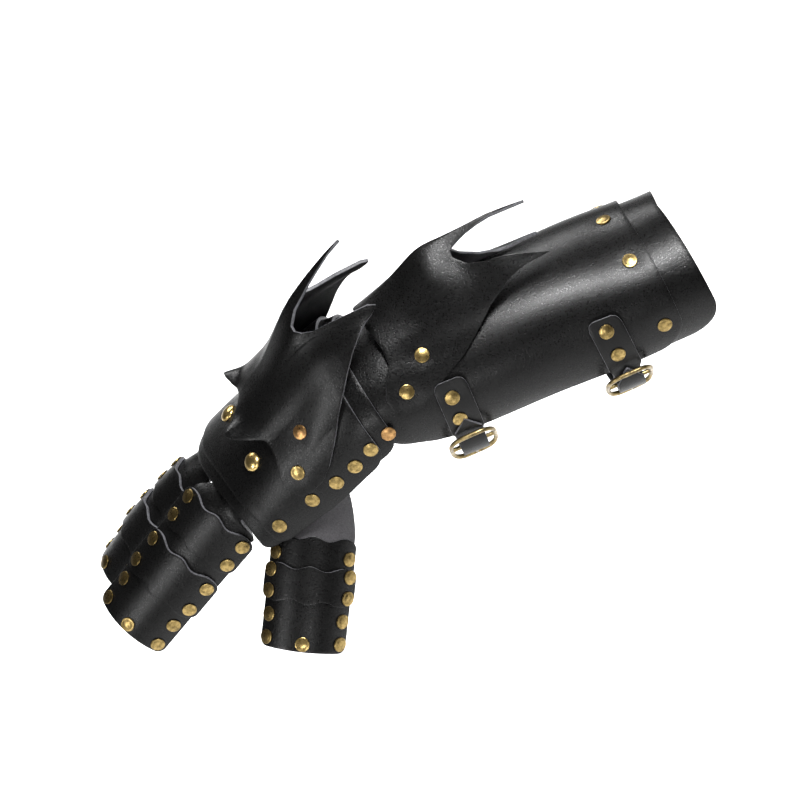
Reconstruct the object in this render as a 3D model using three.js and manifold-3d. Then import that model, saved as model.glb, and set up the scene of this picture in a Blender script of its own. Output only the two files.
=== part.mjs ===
// Armoured gauntlet: riveted leather plates in the shape of a bent right arm.
// Millimetres. X runs up the forearm from the wrist, Z is the back of the arm,
// and the thumb side is towards -Y. The origin is the wrist centre.
import * as THREE from 'three'
import { mergeVertices } from 'three/addons/utils/BufferGeometryUtils.js'
import Module from 'manifold-3d'

const wasm = await Module()
wasm.setup()

// ---- driving dimensions -------------------------------------------------
const LEATHER = 2.2                // plate thickness
const GAP = 0.35                   // clearance between neighbouring pieces
const LAYER = LEATHER + GAP        // one plate lying on another
const RIVET_R = 4.5                // rivet head radius
const DOME_R = 5.8                 // large dome rivet
const POST_R = 1.5
const HOLE_R = POST_R + GAP
const STRAP_WIDTH = 20
const STRAP_LEATHER = 1.6

// Arm inside the plates, as [station along the arm, value] pairs.
// Stations count from the wrist: + up the forearm, - towards the fingers.
const FLEX = [[-130, 21.4], [-60, 20], [-25, 12], [5, 0]]
const DEVIATION = [[-60, 8], [-25, 6], [5, 0]]
const ROLL = [[-100, 14], [-50, 10], [5, 0]]
const HALF_WIDTH = [[-130, 47.5], [-112, 48.5], [-60, 51], [-20, 48], [0, 46], [170, 50], [200, 50.5]]
const HALF_HEIGHT = [[-130, 26], [-90, 34], [-60, 40.5], [-20, 46], [0, 46], [170, 45], [200, 45]]
const DROP = [[-130, -13.5], [-60, -8], [-20, -1], [0, 0], [170, -5], [200, -6]]

// ---- small maths --------------------------------------------------------
const rad = (degrees) => degrees * Math.PI / 180
const vec = (x, y, z) => new THREE.Vector3(x, y, z)
const mix = (a, b, k) => a + (b - a) * k

function along(table, x) {
  const last = table.length - 1
  if (x <= table[0][0]) return table[0][1]
  if (x >= table[last][0]) return table[last][1]
  let i = 0
  while (x > table[i + 1][0]) i++
  const [x0, y0] = table[i]
  const [x1, y1] = table[i + 1]
  return mix(y0, y1, (x - x0) / (x1 - x0))
}

// Smooth curve through [x, ...values] rows (Catmull-Rom with uneven steps).
function smooth(rows, x) {
  const last = rows.length - 1
  const at = Math.min(Math.max(x, rows[0][0]), rows[last][0])
  let i = 0
  while (i < last - 1 && at > rows[i + 1][0]) i++
  const a = rows[i]
  const b = rows[i + 1]
  const before = rows[Math.max(i - 1, 0)]
  const after = rows[Math.min(i + 2, last)]
  const span = b[0] - a[0]
  const k = (at - a[0]) / span
  return a.slice(1).map((start, n) => {
    const end = b[n + 1]
    const slopeA = (end - before[n + 1]) / (b[0] - before[0]) * span
    const slopeB = (after[n + 1] - start) / (after[0] - a[0]) * span
    const k2 = k * k
    const k3 = k2 * k
    return start * (2 * k3 - 3 * k2 + 1) + slopeA * (k3 - 2 * k2 + k)
      + end * (3 * k2 - 2 * k3) + slopeB * (k3 - k2)
  })
}

// ---- arm surface --------------------------------------------------------
function armDirection(station) {
  const flex = rad(along(FLEX, station))
  const turn = rad(along(DEVIATION, station))
  return vec(Math.cos(flex) * Math.cos(turn), -Math.sin(turn), Math.sin(flex) * Math.cos(turn))
}

const SPINE_STEP = 1
const SPINE_FROM = -260
const SPINE = (() => {
  const points = new Map([[0, vec(0, 0, 0)]])
  for (let s = SPINE_STEP; s <= 240; s += SPINE_STEP) {
    const step = armDirection(s - SPINE_STEP / 2).multiplyScalar(SPINE_STEP)
    points.set(s, points.get(s - SPINE_STEP).clone().add(step))
  }
  for (let s = -SPINE_STEP; s >= SPINE_FROM; s -= SPINE_STEP) {
    const step = armDirection(s + SPINE_STEP / 2).multiplyScalar(SPINE_STEP)
    points.set(s, points.get(s + SPINE_STEP).clone().sub(step))
  }
  return points
})()

function armFrame(station) {
  const tangent = armDirection(station)
  const side = tangent.clone().cross(vec(0, 0, 1)).normalize()
  const back = side.clone().cross(tangent)
  const roll = rad(along(ROLL, station))
  const thumb = side.clone().multiplyScalar(Math.cos(roll)).addScaledVector(back, -Math.sin(roll))
  const up = back.multiplyScalar(Math.cos(roll)).addScaledVector(side, Math.sin(roll))
  const low = Math.floor(station)
  const centre = SPINE.get(low).clone().lerp(SPINE.get(low + 1), station - low)
  centre.addScaledVector(up, along(DROP, station))
  return { centre, tangent, thumb, up }
}

// Point on the arm: station, angle round from the back (towards the thumb), height off it.
function armPoint(station, angle, height) {
  const { centre, thumb, up } = armFrame(station)
  const a = rad(angle)
  return centre
    .addScaledVector(thumb, (along(HALF_WIDTH, station) + height) * Math.sin(a))
    .addScaledVector(up, (along(HALF_HEIGHT, station) + height) * Math.cos(a))
}

// ---- shells -------------------------------------------------------------
// A shell is a grid of outer points and inner points, joined round its rim.
function gridBody(columns, rows, pointAt) {
  const verts = []
  const tris = []
  const layerSize = columns * rows
  for (const layer of [0, 1]) {
    for (let i = 0; i < columns; i++) {
      for (let j = 0; j < rows; j++) verts.push(pointAt(i, j, layer))
    }
  }
  const id = (i, j, layer) => layer * layerSize + i * rows + j
  const quad = (a, b, c, d) => tris.push([a, b, c], [a, c, d])
  for (let i = 0; i < columns - 1; i++) {
    for (let j = 0; j < rows - 1; j++) {
      quad(id(i, j, 1), id(i + 1, j, 1), id(i + 1, j + 1, 1), id(i, j + 1, 1))
      quad(id(i, j, 0), id(i, j + 1, 0), id(i + 1, j + 1, 0), id(i + 1, j, 0))
    }
  }
  for (let i = 0; i < columns - 1; i++) {
    quad(id(i, 0, 0), id(i + 1, 0, 0), id(i + 1, 0, 1), id(i, 0, 1))
    quad(id(i + 1, rows - 1, 0), id(i, rows - 1, 0), id(i, rows - 1, 1), id(i + 1, rows - 1, 1))
  }
  for (let j = 0; j < rows - 1; j++) {
    quad(id(0, j + 1, 0), id(0, j, 0), id(0, j, 1), id(0, j + 1, 1))
    quad(id(columns - 1, j, 0), id(columns - 1, j + 1, 0),
      id(columns - 1, j + 1, 1), id(columns - 1, j, 1))
  }
  return solid(verts, tris)
}

function solid(verts, tris) {
  const mesh = new wasm.Mesh({
    numProp: 3,
    vertProperties: new Float32Array(verts.flatMap((p) => [p.x, p.y, p.z])),
    triVerts: new Uint32Array(tris.flat())
  })
  mesh.merge()
  const body = new wasm.Manifold(mesh)
  return body.volume() < 0 ? solid(verts, tris.map(([a, b, c]) => [a, c, b])) : body
}

// Solid from a three.js geometry, with its seam and axis points joined.
function fromGeometry(geometry) {
  geometry.deleteAttribute('normal')
  geometry.deleteAttribute('uv')
  const merged = mergeVertices(geometry, 1e-3)
  const index = [...merged.index.array]
  const kept = []
  for (let i = 0; i < index.length; i += 3) {
    const [a, b, c] = index.slice(i, i + 3)
    if (a !== b && b !== c && c !== a) kept.push(a, b, c)
  }
  const mesh = (triVerts) => new wasm.Mesh({
    numProp: 3,
    vertProperties: new Float32Array(merged.attributes.position.array),
    triVerts: new Uint32Array(triVerts)
  })
  const body = new wasm.Manifold(mesh(kept))
  return body.volume() < 0 ? new wasm.Manifold(mesh(kept.reverse())) : body
}

// Turns geometry that stands along +Z to stand at `point` along `normal`.
function placement(point, normal) {
  const turn = new THREE.Quaternion().setFromUnitVectors(vec(0, 0, 1), normal)
  return new THREE.Matrix4().compose(point, turn, vec(1, 1, 1))
}

// Plate on a surface: edges(t) gives [front, back] for t from -1 to 1, surface(t, s, height).
function plate({ columns, rows, edges, surface, height }) {
  return gridBody(columns.length, rows.length, (i, j, layer) => {
    const t = columns[i]
    const [front, back] = edges(t)
    return surface(t, mix(front, back, rows[j]), height + layer * LEATHER)
  })
}

const spread = (from, to, steps) => Array.from({ length: steps + 1 }, (_, i) => mix(from, to, i / steps))

// Rounds the ends of an edge: how far it falls back near t = 1 for a corner of the given radius.
function corner(t, halfArc, radius) {
  const into = Math.abs(t) * halfArc - (halfArc - radius)
  if (into <= 0) return 0
  return radius - Math.sqrt(Math.max(0, radius * radius - into * into))
}

// ---- bracer -------------------------------------------------------------
const INNER_HEIGHT = -1.5
const OUTER_HEIGHT = INNER_HEIGHT + LAYER + 0.15
const BRACER = {
  inner: { front: -15, back: [186, 195], angle: [[-25, 108], [20, 115], [190, 113]], corner: 24, height: INNER_HEIGHT },
  outer: { front: -16, back: [166, 171], angle: [[-25, 106], [20, 113], [170, 110]], corner: 20, height: OUTER_HEIGHT }
}
const BRACER_FRONT_CORNER = 34
const BRACER_ROWS = [0, 0.08, 0.11, 0.55, 1]
const BRACER_COLUMNS = [-1, -0.98, -0.92, ...spread(-0.84, 0.84, 20), 0.92, 0.98, 1]

function bracer({ front, back, angle, corner: radius, height }) {
  const halfArc = rad(angle[1][1]) * HALF_WIDTH[4][1]
  return plate({
    columns: BRACER_COLUMNS,
    rows: BRACER_ROWS,
    height,
    surface: (t, s, h) => armPoint(s, t * along(angle, s), h),
    edges: (t) => [
      front + corner(t, halfArc, BRACER_FRONT_CORNER),
      mix(back[0], back[1], Math.abs(t)) - corner(t, halfArc, radius)
    ]
  })
}

// ---- hand plates --------------------------------------------------------
const WRIST_CLEARANCE = 0.5        // extra where the plates ride over the bending wrist
const HAND_INNER_HEIGHT = OUTER_HEIGHT + LAYER + WRIST_CLEARANCE
const HAND_OUTER_HEIGHT = HAND_INNER_HEIGHT + LAYER + 0.25
// Front edges run slanting over the knuckles: [degrees round, station].
const HAND = {
  inner: {
    front: [[-76, -118], [-45, -126], [-22, -129], [6, -122.5], [29, -116.5], [46, -113.5], [76, -113.5]],
    back: [-14, -8], height: HAND_INNER_HEIGHT
  },
  outer: {
    front: [[-76, -108], [-45, -118], [-22, -121.5], [10, -112.5], [22, -109.5], [54, -104], [76, -102.5]],
    back: [-21, -17], height: HAND_OUTER_HEIGHT
  }
}
const HAND_ANGLE = [[-124, 79], [-20, 91]]      // plates reach further round at the wrist
const HAND_COLUMNS = [-1, -0.97, -0.91, ...spread(-0.84, 0.84, 16), 0.91, 0.97, 1]
const HAND_ROWS = [0, 0.25, 0.5, 0.73, 0.88, 1]
const HAND_CORNER = 9

function handPlate({ front, back, height }) {
  return plate({
    columns: HAND_COLUMNS,
    rows: HAND_ROWS,
    height,
    surface: (t, s, h) => armPoint(s, t * along(HAND_ANGLE, s), h),
    edges: (t) => {
      const round = corner(t, 75, HAND_CORNER)
      return [
        smooth(front, t * HAND_ANGLE[0][1])[0] + round,
        mix(back[0], back[1], Math.abs(t)) - round
      ]
    }
  })
}

// ---- spike plates -------------------------------------------------------
// Laid out from the ridge: degrees round from the ridge, then stations or heights.
const HAND_SPIKE = {
  base: HAND_OUTER_HEIGHT + LAYER,
  ridge: [[-60, -9.5], [-37, -7.5], [-18, -4.7], [5, 0]],
  front: [[0, -72], [5, -75], [10, -80], [15, -84.5], [19, -86.5], [21.5, -84.5], [24, -80],
    [28, -73.5], [32, -68], [38, -67], [45, -69], [56, -73.5], [64, -73], [71, -69], [74.5, -63]],
  back: [[0, 5], [2.2, -10], [5, -20], [8.3, -23.8], [11, -23.6], [13.5, -21], [15.2, -16.5],
    [16.9, 10.7], [21.5, 2], [25, -1.5], [31, -7], [38, -12.5], [45, -17.5], [56, -27], [64, -35],
    [71, -44], [74.5, -53]],
  lift: [
    [-86, 7, 12, 16, 9, 3, 0],
    [-72, 9, 9.4, 8.5, 5.6, 2, 0],
    [-49, 12.5, 11.5, 8.7, 5.4, 2, 0],
    [-24, 28.5, 23.5, 15.5, 11, 7, 0],
    [-11, 39.5, 28.5, 17.5, 14, 10.3, 3.4],
    [5, 53.3, 35.5, 19.5, 16, 13, 7]
  ],
  liftAngles: [0, 10, 18, 27, 36, 58],
  farShift: 7,
  farLift: 1
}
const FOREARM_SPIKE = {
  base: OUTER_HEIGHT + LAYER,
  ridge: [[0, 0], [1, 0]],
  front: [[0, -1], [15, 1], [30, 3.4], [40, 3.4], [50, -1], [59, -4], [67, -3.5], [72, -0.5], [75, 4]],
  back: [[0, 113], [0.8, 91], [2.7, 72], [4.9, 62], [7.6, 61.5], [11.8, 68], [15, 78], [17.5, 96],
    [20, 115], [23, 96], [26, 85], [32.5, 70.5], [42, 58], [52, 46], [60, 33], [68, 20], [75, 11]],
  lift: [
    [0, 10, 7.5, 4.8, 3.2, 1, 0],
    [23, 19.7, 14.3, 8.4, 4.8, 1.2, 0],
    [45, 32.4, 23, 13.9, 7.6, 2.2, 0],
    [65, 34.6, 23, 15.2, 8.9, 2.8, 0],
    [90, 36.8, 28.9, 19.4, 12, 5.4, 1],
    [115, 35.4, 25.6, 15.6, 11, 6, 1.4]
  ],
  liftAngles: [0, 10, 20, 30, 42, 58],
  farShift: 0,
  farLift: 0.03
}

const SPIKE_HALF_ANGLE = 17          // from the ridge to a side spike
const SPIKE_ROWS = spread(0, 1, 5)

function spikeSurface(shape) {
  return (angle, s, h) => {
    const turn = Math.abs(angle)
    const row = smooth(shape.lift, s)
    const lift = smooth(shape.liftAngles.map((a, i) => [a, row[i]]), turn)[0]
    const far = Math.min(1, Math.max(0, -angle / SPIKE_HALF_ANGLE))
    const kept = mix(1, shape.farLift, far * far)
    return armPoint(s + shape.farShift * far, along(shape.ridge, s) + angle, h + Math.max(0, lift) * kept)
  }
}

function spikePlate(shape) {
  const half = shape.back.map(([angle]) => angle)
  const columns = [...half.slice(1).reverse().map((angle) => -angle), ...half]
  return plate({
    columns,
    rows: SPIKE_ROWS,
    height: shape.base,
    surface: spikeSurface(shape),
    edges: (angle) => [along(shape.front, Math.abs(angle)), along(shape.back, Math.abs(angle))]
  })
}

// ---- finger and thumb chains --------------------------------------------
// A chain is a row of arched lames over a finger. `down` runs to the fingertip and `side`
// towards the thumb; `start` is on the back of the finger where the hand plates end.
const CHAINS = {
  index: {
    start: vec(-119.5, -11.2, -24.9), down: vec(-0.857, 0, -0.515), side: vec(0.39, -0.655, -0.648),
    radius: 36, halfAngle: 46.5, curl: 0.03, scale: 1.035,
    root: (t, d) => [-116 - d, 26 + 18 * t], rootEnd: 1.5, archStart: 9.8
  },
  ring: {
    start: vec(-133.5, 31.6, -20.6), down: vec(-0.874, 0.13, -0.445), side: vec(0.063, -0.99, -0.104),
    radius: 25, halfAngle: 61, curl: 0.14, scale: 0.92,
    root: (t, d) => [-118 - d, -25 + 14 * t], rootEnd: 3, archStart: 9.8
  },
  thumb: {
    start: vec(-78, -43, -45.5), down: vec(-0.507, -0.531, -0.679), side: vec(0.855, -0.319, -0.408),
    radius: 31, halfAngle: 50, curl: 0.08, scale: 1,
    root: (t, d) => [-66 + 20 * t, 94 + d], rootEnd: -10, archStart: 1
  }
}
// The base lame runs back under the hand plates; `root` gives [station, angle] there.
const ROOT_HEIGHT = HAND_INNER_HEIGHT - LAYER - 0.3
// Lames along a chain, in millimetres from its start; raised ones lie over the others.
const FINGER_LAMES = [
  { name: 'base', from: -40, to: 15, raised: 0, narrow: 0.8 },
  { name: 'bridge_1', from: 10, to: 38, raised: 1 },
  { name: 'mid', from: 31, to: 52, raised: 0 },
  { name: 'bridge_2', from: 45, to: 76, raised: 1 },
  { name: 'tip', from: 69, to: 107, raised: 0 }
]
const THUMB_LAMES = [
  { name: 'base', from: -32, to: 14, raised: 0, narrow: 0.8 },
  { name: 'mid', from: 3, to: 30, raised: 1, plainEnd: true },
  { name: 'bridge', from: 21, to: 44, raised: 2 },
  { name: 'tip', from: 36, to: 73, raised: 1, plainEnd: true, plainStart: true }
]
const WAVE = 3.2                   // depth of the scalloped edges of a raised lame
const LAME_ROWS = [0, 1]
const BASE_ROWS = [0, 0.35, 0.7, 0.8, 0.9, 1]
const LAME_COLUMNS = [-1, -0.95, ...spread(-0.86, 0.86, 10), 0.95, 1]

function chainFrame({ start, down, side, curl, radius }, distance) {
  const d = down.clone().normalize()
  const across = side.clone().addScaledVector(d, -side.dot(d)).normalize()
  const up = d.clone().cross(across)
  if (up.z < 0) up.negate()
  const bend = rad(curl * distance)
  const half = bend / 2
  const centre = start.clone()
    .addScaledVector(d, distance * Math.cos(half))
    .addScaledVector(up, -distance * Math.sin(half))
  const normal = up.clone().multiplyScalar(Math.cos(bend)).addScaledVector(d, Math.sin(bend))
  return { centre: centre.addScaledVector(normal, -radius), across, normal }
}

function chainPoint(chain, distance, angle, height) {
  const { centre, across, normal } = chainFrame(chain, distance * chain.scale)
  const a = rad(angle)
  const r = chain.radius + height
  return centre
    .addScaledVector(across, r * Math.sin(a))
    .addScaledVector(normal, r * Math.cos(a))
}

// A base lame blends from the arm surface to the chain's own arch.
function basePoint(chain, d, t, halfAngle, h) {
  const arch = chainPoint(chain, d, t * halfAngle, h)
  const k = Math.min(1, Math.max(0, (d - chain.rootEnd) / (chain.archStart - chain.rootEnd)))
  if (k === 1) return arch
  const [station, angle] = chain.root(t, d)
  return armPoint(station, angle, ROOT_HEIGHT + h).lerp(arch, k * k * (3 - 2 * k))
}

function baseLame(chain, { from, to, narrow }) {
  const halfAngle = chain.halfAngle * narrow
  return plate({
    columns: LAME_COLUMNS,
    rows: BASE_ROWS,
    height: -LEATHER,
    surface: (t, d, h) => basePoint(chain, d, t, halfAngle, h),
    edges: (t) => [from + corner(t, 18, 5), to - corner(t, 18, 5)]
  })
}

function lame(chain, { from, to, raised, plainStart, plainEnd }) {
  const halfAngle = chain.halfAngle
  const halfArc = rad(halfAngle) * chain.radius
  return plate({
    columns: LAME_COLUMNS,
    rows: LAME_ROWS,
    height: raised * LAYER - LEATHER,
    surface: (t, s, h) => chainPoint(chain, s, t * halfAngle, h),
    edges: (t) => {
      const round = corner(t, halfArc, 5)
      const wave = raised ? WAVE * (0.5 - 0.5 * Math.cos(t * Math.PI * 3)) * (1 - Math.abs(t) * 0.6) : 0
      return [from + round + (plainStart ? 0 : wave), to - round - (plainEnd ? 0 : wave)]
    }
  })
}

function chainPieces(name, lames) {
  const chain = CHAINS[name]
  return lames.map((one) => [`${name}_${one.name}`, one.narrow ? baseLame(chain, one) : lame(chain, one)])
}

// ---- straps and buckles -------------------------------------------------
// Strap paths are [degrees round, height of the middle of the strap].
const STRAPS = [
  { name: 'wrist', station: 30, slant: 0, tip: -268, rivets: [[28.5, 75.5]] },
  { name: 'elbow', station: 129.5, slant: 0.08, tip: -256, rivets: [[126, 73], [127.5, 91.4]] }
]
const SLANT_FROM = 105             // a slanting strap is square to the arm from here round
const STRAP_BED = OUTER_HEIGHT + LAYER + 0.15 + STRAP_LEATHER / 2
const STRAP_PITCH = STRAP_LEATHER + GAP
const TAB_HEIGHT = STRAP_BED + 2.5
const BILLET_HEIGHT = TAB_HEIGHT + STRAP_PITCH
const WIRE_R = 1.4                 // buckle frame wire
const BAR_ANGLE = 121
const LOOP_R = WIRE_R + GAP + 0.15 + STRAP_LEATHER / 2
const LOOP_TURN = LOOP_R * 1.3         // the same reach in degrees round the arm
const BAR_HEIGHT = STRAP_BED + LOOP_R + 0.6
const TAB_ENDS = [64, 70]          // outer layer starts at the first, the folded layer ends at the second
const BUCKLE_HALF = 14             // half width along the arm
const BUCKLE_FAR = 14
const BUCKLE_NEAR = 14.5
const BUCKLE_ARCH = 3.5
const BUCKLE_TILT = 7
const PRONG_R = 1.1
const PRONG_SLOT_R = 2.3

function ribbon({ station, slant }, path, halfWidthAt) {
  const sides = [-1, 1]
  return gridBody(path.length, sides.length, (i, j, layer) => {
    const previous = path[Math.max(i - 1, 0)]
    const next = path[Math.min(i + 1, path.length - 1)]
    const leaning = slant * Math.min(0, (path[i][0] + 720) % 360 - SLANT_FROM)
    const at = station + (path[i][0] < 0 ? 0 : leaning) + sides[j] * halfWidthAt(i, path[i][0])
    const here = armPoint(at, path[i][0], path[i][1])
    const way = armPoint(at, next[0], next[1]).sub(armPoint(at, previous[0], previous[1]))
    const face = way.cross(armFrame(at).tangent).normalize()
    return here.addScaledVector(face, (layer - 0.5) * STRAP_LEATHER)
  })
}

function tabPath() {
  const upper = TAB_HEIGHT
  const top = BAR_HEIGHT + LOOP_R
  const path = [...spread(TAB_ENDS[0], 104, 6).map((a) => [a, upper])]
  path.push([109, upper + 0.5], [113, mix(upper, top, 0.5)], [117, mix(upper, top, 0.92)])
  for (const turn of spread(90, -90, 6)) {
    path.push([BAR_ANGLE + LOOP_TURN * Math.cos(rad(turn)), BAR_HEIGHT + LOOP_R * Math.sin(rad(turn))])
  }
  return [...path, ...spread(115, TAB_ENDS[1], 7).map((a) => [a, STRAP_BED])]
}

function strapTab(strap) {
  const width = (i, angle) => STRAP_WIDTH / 2 - (i ? 0 : 3.5) - (angle > 107 ? 1.6 : 0)
  return ribbon(strap, tabPath(), width)
}

function billetPath(tip) {
  const over = BAR_HEIGHT + LOOP_R + STRAP_PITCH
  const resting = BILLET_HEIGHT
  const path = spread(-68, -220, 20).map((a) => [a, STRAP_BED])
  path.push([-225, STRAP_BED], [-229, STRAP_BED + 1.1], [-232, mix(STRAP_BED, over, 0.5)])
  path.push([-235, mix(STRAP_BED, over, 0.88)], [-238, over], [-243, over - 0.1])
  path.push([-247, mix(over, resting, 0.24)], [-250.5, mix(over, resting, 0.58)])
  return [...path, ...spread(-253.5, tip, 4).map((a) => [a, resting])]
}

function billet(strap) {
  const width = (i, angle) => {
    const taper = Math.min(1, 0.08 + Math.abs(angle - strap.tip) / 10)
    return (STRAP_WIDTH / 2 - 1.8) * taper - (i ? 0 : 3.5)
  }
  return ribbon(strap, billetPath(strap.tip), width)
}

// Round bar through a row of points.
const ROD_SIDES = 6

function rod(points, radius) {
  const links = points.slice(1).map((end, i) => {
    const start = points[i]
    const way = end.clone().sub(start)
    const capsule = new THREE.CapsuleGeometry(radius, way.length(), 1, ROD_SIDES).rotateX(Math.PI / 2)
    const middle = start.clone().add(end).multiplyScalar(0.5)
    return fromGeometry(capsule.applyMatrix4(placement(middle, way.normalize())))
  })
  return links.reduce((whole, link) => whole.add(link))
}

// Place in the buckle's own plane: u along the arm, v round towards the underside.
function bucklePlace(station, u, v, lift = 0) {
  const { tangent } = armFrame(station)
  const origin = armPoint(station, BAR_ANGLE, BAR_HEIGHT)
  const round = armPoint(station, BAR_ANGLE + 1, BAR_HEIGHT)
    .sub(armPoint(station, BAR_ANGLE - 1, BAR_HEIGHT)).normalize()
  const out = armPoint(station, BAR_ANGLE, BAR_HEIGHT + 1).sub(origin).normalize()
  const tilt = rad(BUCKLE_TILT)
  return origin
    .addScaledVector(tangent, u)
    .addScaledVector(round, v * Math.cos(tilt) + lift * Math.sin(tilt))
    .addScaledVector(out, -v * Math.sin(tilt) + lift * Math.cos(tilt))
}

// Frame: a ring of wire bent to a rounded oblong with one side arched, and its middle bar.
const RING_R = 10
const SQUARENESS = 0.5

function buckle({ station }) {
  const ring = new THREE.TorusGeometry(RING_R, WIRE_R, 6, 20)
  const places = ring.attributes.position
  const oblong = (value) => Math.sign(value) * Math.abs(value) ** SQUARENESS
  for (let i = 0; i < places.count; i++) {
    const [x, y, z] = [places.getX(i), places.getY(i), places.getZ(i)]
    const outward = Math.hypot(x, y) - RING_R
    const [cos, sin] = [x / Math.hypot(x, y), y / Math.hypot(x, y)]
    const arch = BUCKLE_ARCH * Math.max(0, -sin) ** 2
    const u = oblong(cos) * BUCKLE_HALF + cos * outward
    const v = oblong(sin) * (sin < 0 ? BUCKLE_NEAR + arch : BUCKLE_FAR) + sin * outward
    const { x: px, y: py, z: pz } = bucklePlace(station, u, v, z)
    places.setXYZ(i, px, py, pz)
  }
  const bar = [-BUCKLE_HALF, BUCKLE_HALF].map((u) => bucklePlace(station, u, 0))
  return fromGeometry(ring).add(rod(bar, WIRE_R))
}

function prong({ station }, radius) {
  const over = WIRE_R + GAP + PRONG_R
  const eye = spread(200, 20, 3).map((turn) => [over * Math.cos(rad(turn)), over * Math.sin(rad(turn))])
  const path = [...eye, [6, 3.4], [BUCKLE_FAR + 1, over + 0.2]]
  return rod(path.map(([v, lift]) => bucklePlace(station, 0, v, lift)), radius)
}

// ---- all the plates and straps ------------------------------------------
const bodies = new Map([
  ['bracer_inner', bracer(BRACER.inner)],
  ['bracer_outer', bracer(BRACER.outer)],
  ['hand_plate_inner', handPlate(HAND.inner)],
  ['hand_plate_outer', handPlate(HAND.outer)],
  ['hand_spike_plate', spikePlate(HAND_SPIKE)],
  ['forearm_spike_plate', spikePlate(FOREARM_SPIKE)],
  ...chainPieces('index', FINGER_LAMES),
  ...chainPieces('ring', FINGER_LAMES),
  ...chainPieces('thumb', THUMB_LAMES)
])
for (const strap of STRAPS) {
  const slot = prong(strap, PRONG_SLOT_R)
  bodies.set(`${strap.name}_tab`, strapTab(strap).subtract(slot))
  bodies.set(`${strap.name}_billet`, billet(strap).subtract(slot))
  bodies.set(`${strap.name}_buckle`, buckle(strap))
  bodies.set(`${strap.name}_prong`, prong(strap, PRONG_R))
}
const metals = new Map(STRAPS.flatMap(({ name }) => [[`${name}_buckle`, 'bronze'], [`${name}_prong`, 'bronze']]))

// ---- rivets -------------------------------------------------------------
const RIVET_SIDES = 8
const BACK_R = 3.4
const BACK_THICK = 1
const RIM = 0.8                    // straight edge of a rivet head
const HEAD_RISE = 1.6
const DOME_RISE = 3
const REACH = 14                   // how far from the arm surface a rivet may look for leather

function column(radius, point, normal) {
  const geometry = new THREE.CylinderGeometry(radius, radius, 2 * REACH, RIVET_SIDES).rotateX(Math.PI / 2)
  return fromGeometry(geometry.applyMatrix4(placement(point, normal)))
}

// Highest and lowest leather within `radius` of the rivet's line, measured along it.
function stackSpan(names, radius, point, normal) {
  const probe = column(radius, point, normal)
  const flat = placement(point, normal).invert().elements
  let low = Infinity
  let high = -Infinity
  for (const name of names) {
    const cut = bodies.get(name).intersect(probe)
    if (cut.isEmpty()) throw new Error(`${name} is not under a rivet`)
    const { min, max } = cut.transform(flat).boundingBox()
    low = Math.min(low, min[2])
    high = Math.max(high, max[2])
  }
  return [low, high]
}

function surfaceNormal(station, angle) {
  const { centre, tangent } = armFrame(station)
  const round = armPoint(station, angle + 1, 0).sub(armPoint(station, angle - 1, 0))
  const normal = round.cross(tangent).normalize()
  const outward = armPoint(station, angle, 0).sub(centre)
  return normal.dot(outward) < 0 ? normal.negate() : normal
}

// Head above the stack, post through it and a plain round foot beneath, as one turned piece.
function rivetBody(radius, rise, seat, under) {
  const profile = [
    [0, under - BACK_THICK], [BACK_R, under - BACK_THICK], [BACK_R, under], [POST_R, under],
    [POST_R, seat], [radius, seat], [radius, seat + RIM], [radius * 0.62, seat + rise], [0, seat + rise]
  ].map(([r, z]) => new THREE.Vector2(r, z))
  return new THREE.LatheGeometry(profile, RIVET_SIDES).rotateX(Math.PI / 2)
}

function addRivet(name, station, angle, names, { radius = RIVET_R, rise = HEAD_RISE } = {}) {
  const point = armPoint(station, angle, 0)
  const normal = surfaceNormal(station, angle)
  const [low, high] = stackSpan(names, radius, point, normal)
  const hole = column(HOLE_R, point, normal)
  for (const one of names) bodies.set(one, bodies.get(one).subtract(hole))
  const body = rivetBody(radius, rise, high + GAP, low - GAP)
  bodies.set(name, fromGeometry(body.applyMatrix4(placement(point, normal))))
  metals.set(name, 'brass')
}

const HAND_EDGE = [[-94.4, 68.4], [-66.2, 71], [-47.6, 74.9], [-33.1, 77.3], [-20.9, 76.9]]
const DOMES = [[-85.4, 24], [-94.3, -28.7]]
const WRIST_RIVET = [-10.3, 77.5]
const HAND_SPIKE_RIVETS = [[-47, 36.7], [-60.9, 51.1]]
const FOREARM_SPIKE_RIVETS = [[22.5, 42.9], [5.8, 61.4]]
const BRACER_RIVETS = [[153.4, -5.4], [155.6, 36], [159.6, 86.8], [155.6, -46], [159.6, -86.8]]
const BILLET_RIVET = -76

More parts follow.
